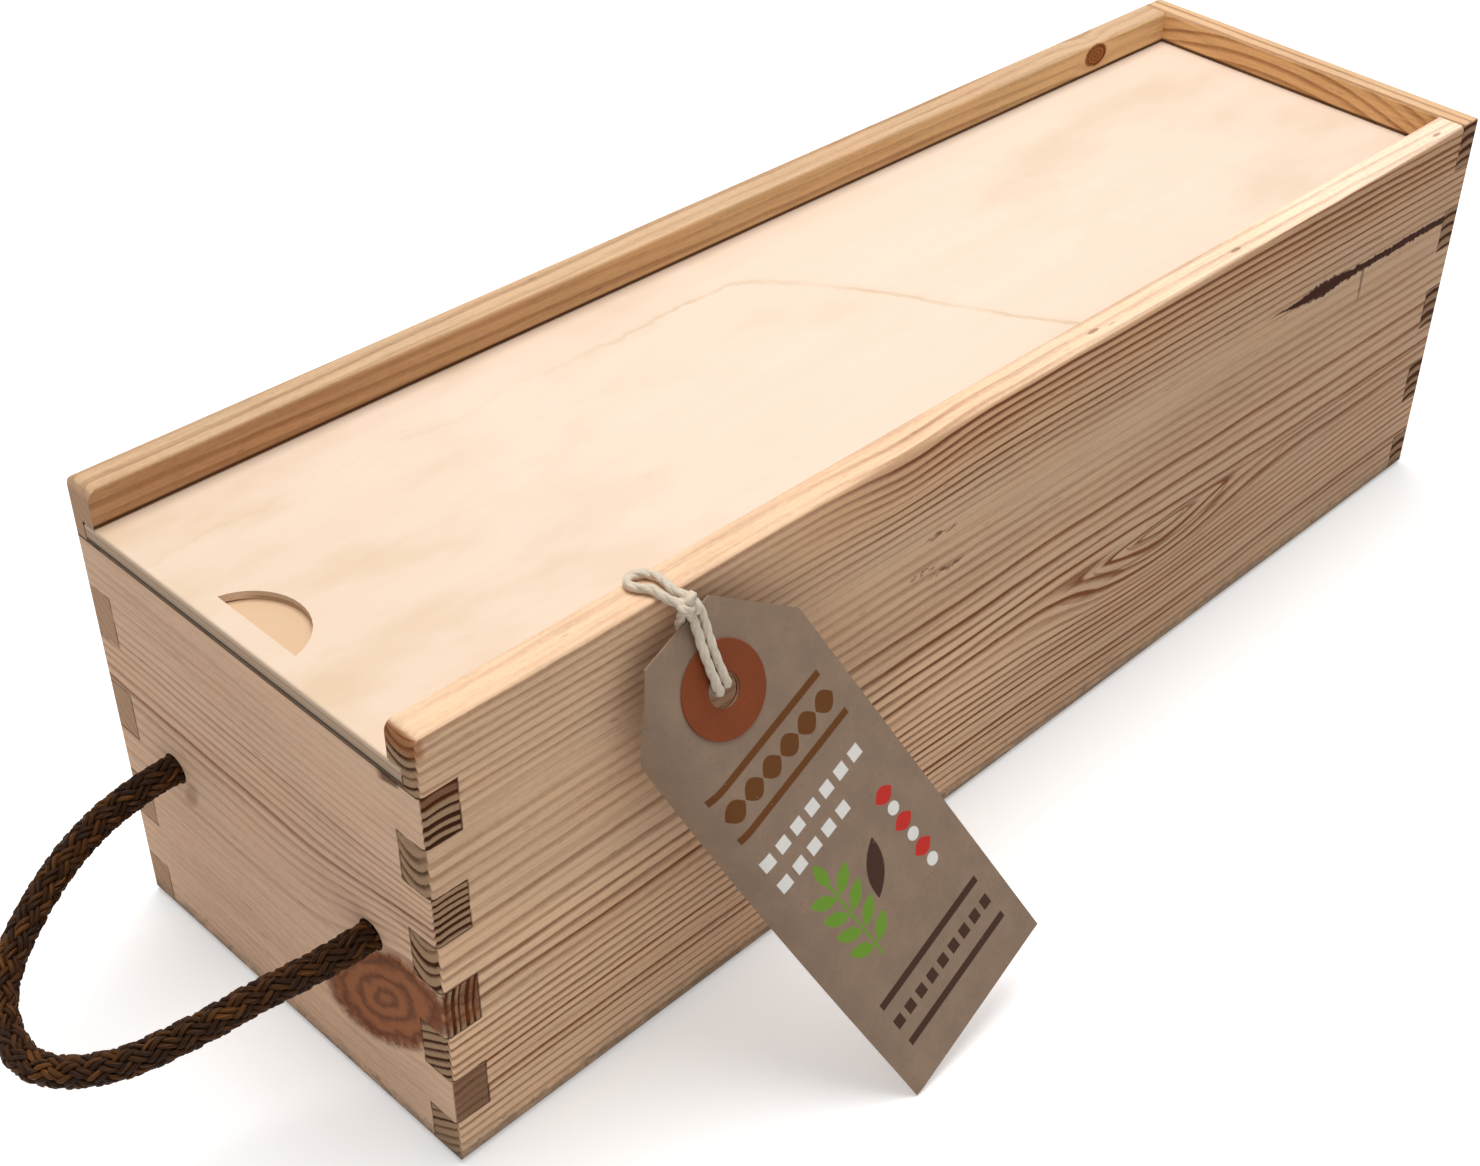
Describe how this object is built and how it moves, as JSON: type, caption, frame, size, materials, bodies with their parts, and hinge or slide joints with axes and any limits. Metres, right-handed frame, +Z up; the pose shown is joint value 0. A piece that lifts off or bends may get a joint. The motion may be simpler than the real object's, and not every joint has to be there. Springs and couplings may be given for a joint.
{
  "type": "wooden wine box",
  "caption": "Long finger-jointed wooden box for a bottle, with a plywood lid that slides out of grooves, a braided rope handle and a card tag on a string.",
  "frame": {"origin": "middle of the underside of the box, on the surface it stands on", "axes": "+X across the box towards the side with the tag, +Y along the box from the rope handle to the closed end, +Z up"},
  "size_m": [0.1591, 0.407, 0.113],
  "materials": {
    "pine_side": "planed, unfinished",
    "pine_end": "planed, unfinished",
    "plywood": "sanded birch plywood",
    "rope": "braided, dark brown",
    "card": "uncoated kraft card",
    "fibre": "vulcanised fibre",
    "string": "twisted cotton"
  },
  "bodies": {
    "box": {"left_side": "pine_side", "right_side": "pine_side", "front_panel": "pine_end", "back_panel": "pine_end", "bottom_panel": "plywood", "rope_end_left": "rope", "rope_end_right": "rope", "rope_knot_left": "rope", "rope_knot_right": "rope", "string_loop": "string"},
    "lid": {"sliding_lid": "plywood"},
    "handle": {"rope_loop": "rope"},
    "tag": {"hang_tag": "card", "tag_ring_front": "fibre", "tag_ring_back": "fibre", "string_legs": "string", "string_knot": "string"}
  },
  "joints": [
    {"name": "lid_slide", "type": "slide", "parent": "box", "child": "lid", "axis": [0, -1, 0], "range_m": [0, 0.35]},
    {"name": "handle_swing", "type": "hinge", "parent": "box", "child": "handle", "pos_m": [0, -0.17855, 0.0495], "axis": [1, 0, 0], "range_deg": [-68, 38]},
    {"name": "tag_swing", "type": "hinge", "parent": "box", "child": "tag", "pos_m": [0.0536, -0.1183, 0.1116], "axis": [0, -1, 0], "range_deg": [0, 60]}
  ]
}
